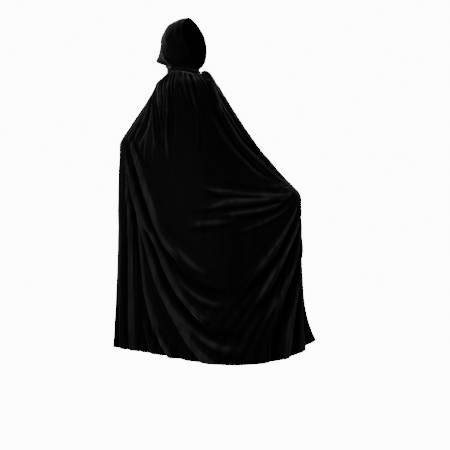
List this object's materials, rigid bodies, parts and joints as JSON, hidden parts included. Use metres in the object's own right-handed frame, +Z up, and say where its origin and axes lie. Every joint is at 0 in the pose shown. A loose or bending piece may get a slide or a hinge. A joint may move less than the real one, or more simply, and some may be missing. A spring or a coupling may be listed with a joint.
{
  "type": "hooded cloak",
  "caption": "Long hooded velvet cloak, gathered at the neck and draped as it hangs when one front is held out and the other side is lifted.",
  "frame": {"origin": "the middle of the neck opening, at mid height of the neck band", "axes": "+Z is up along the upright neck, the open front faces -Y, and the cloak's own right side, whose front is held out, is -X"},
  "size_m": [0.8169, 0.5464, 1.5162],
  "materials": {
    "velvet": "soft short pile, thin and slightly see-through, with a pale sheen along the folds",
    "band_velvet": "the same velvet, doubled",
    "closure_wire": "black lacquered wire"
  },
  "bodies": {
    "root": {"back_panel": "velvet", "right_front": "velvet", "left_front": "velvet", "neck_band": "band_velvet", "hood_right": "velvet", "hood_left": "velvet", "neck_hook": "closure_wire", "neck_eye": "closure_wire"}
  },
  "joints": []
}
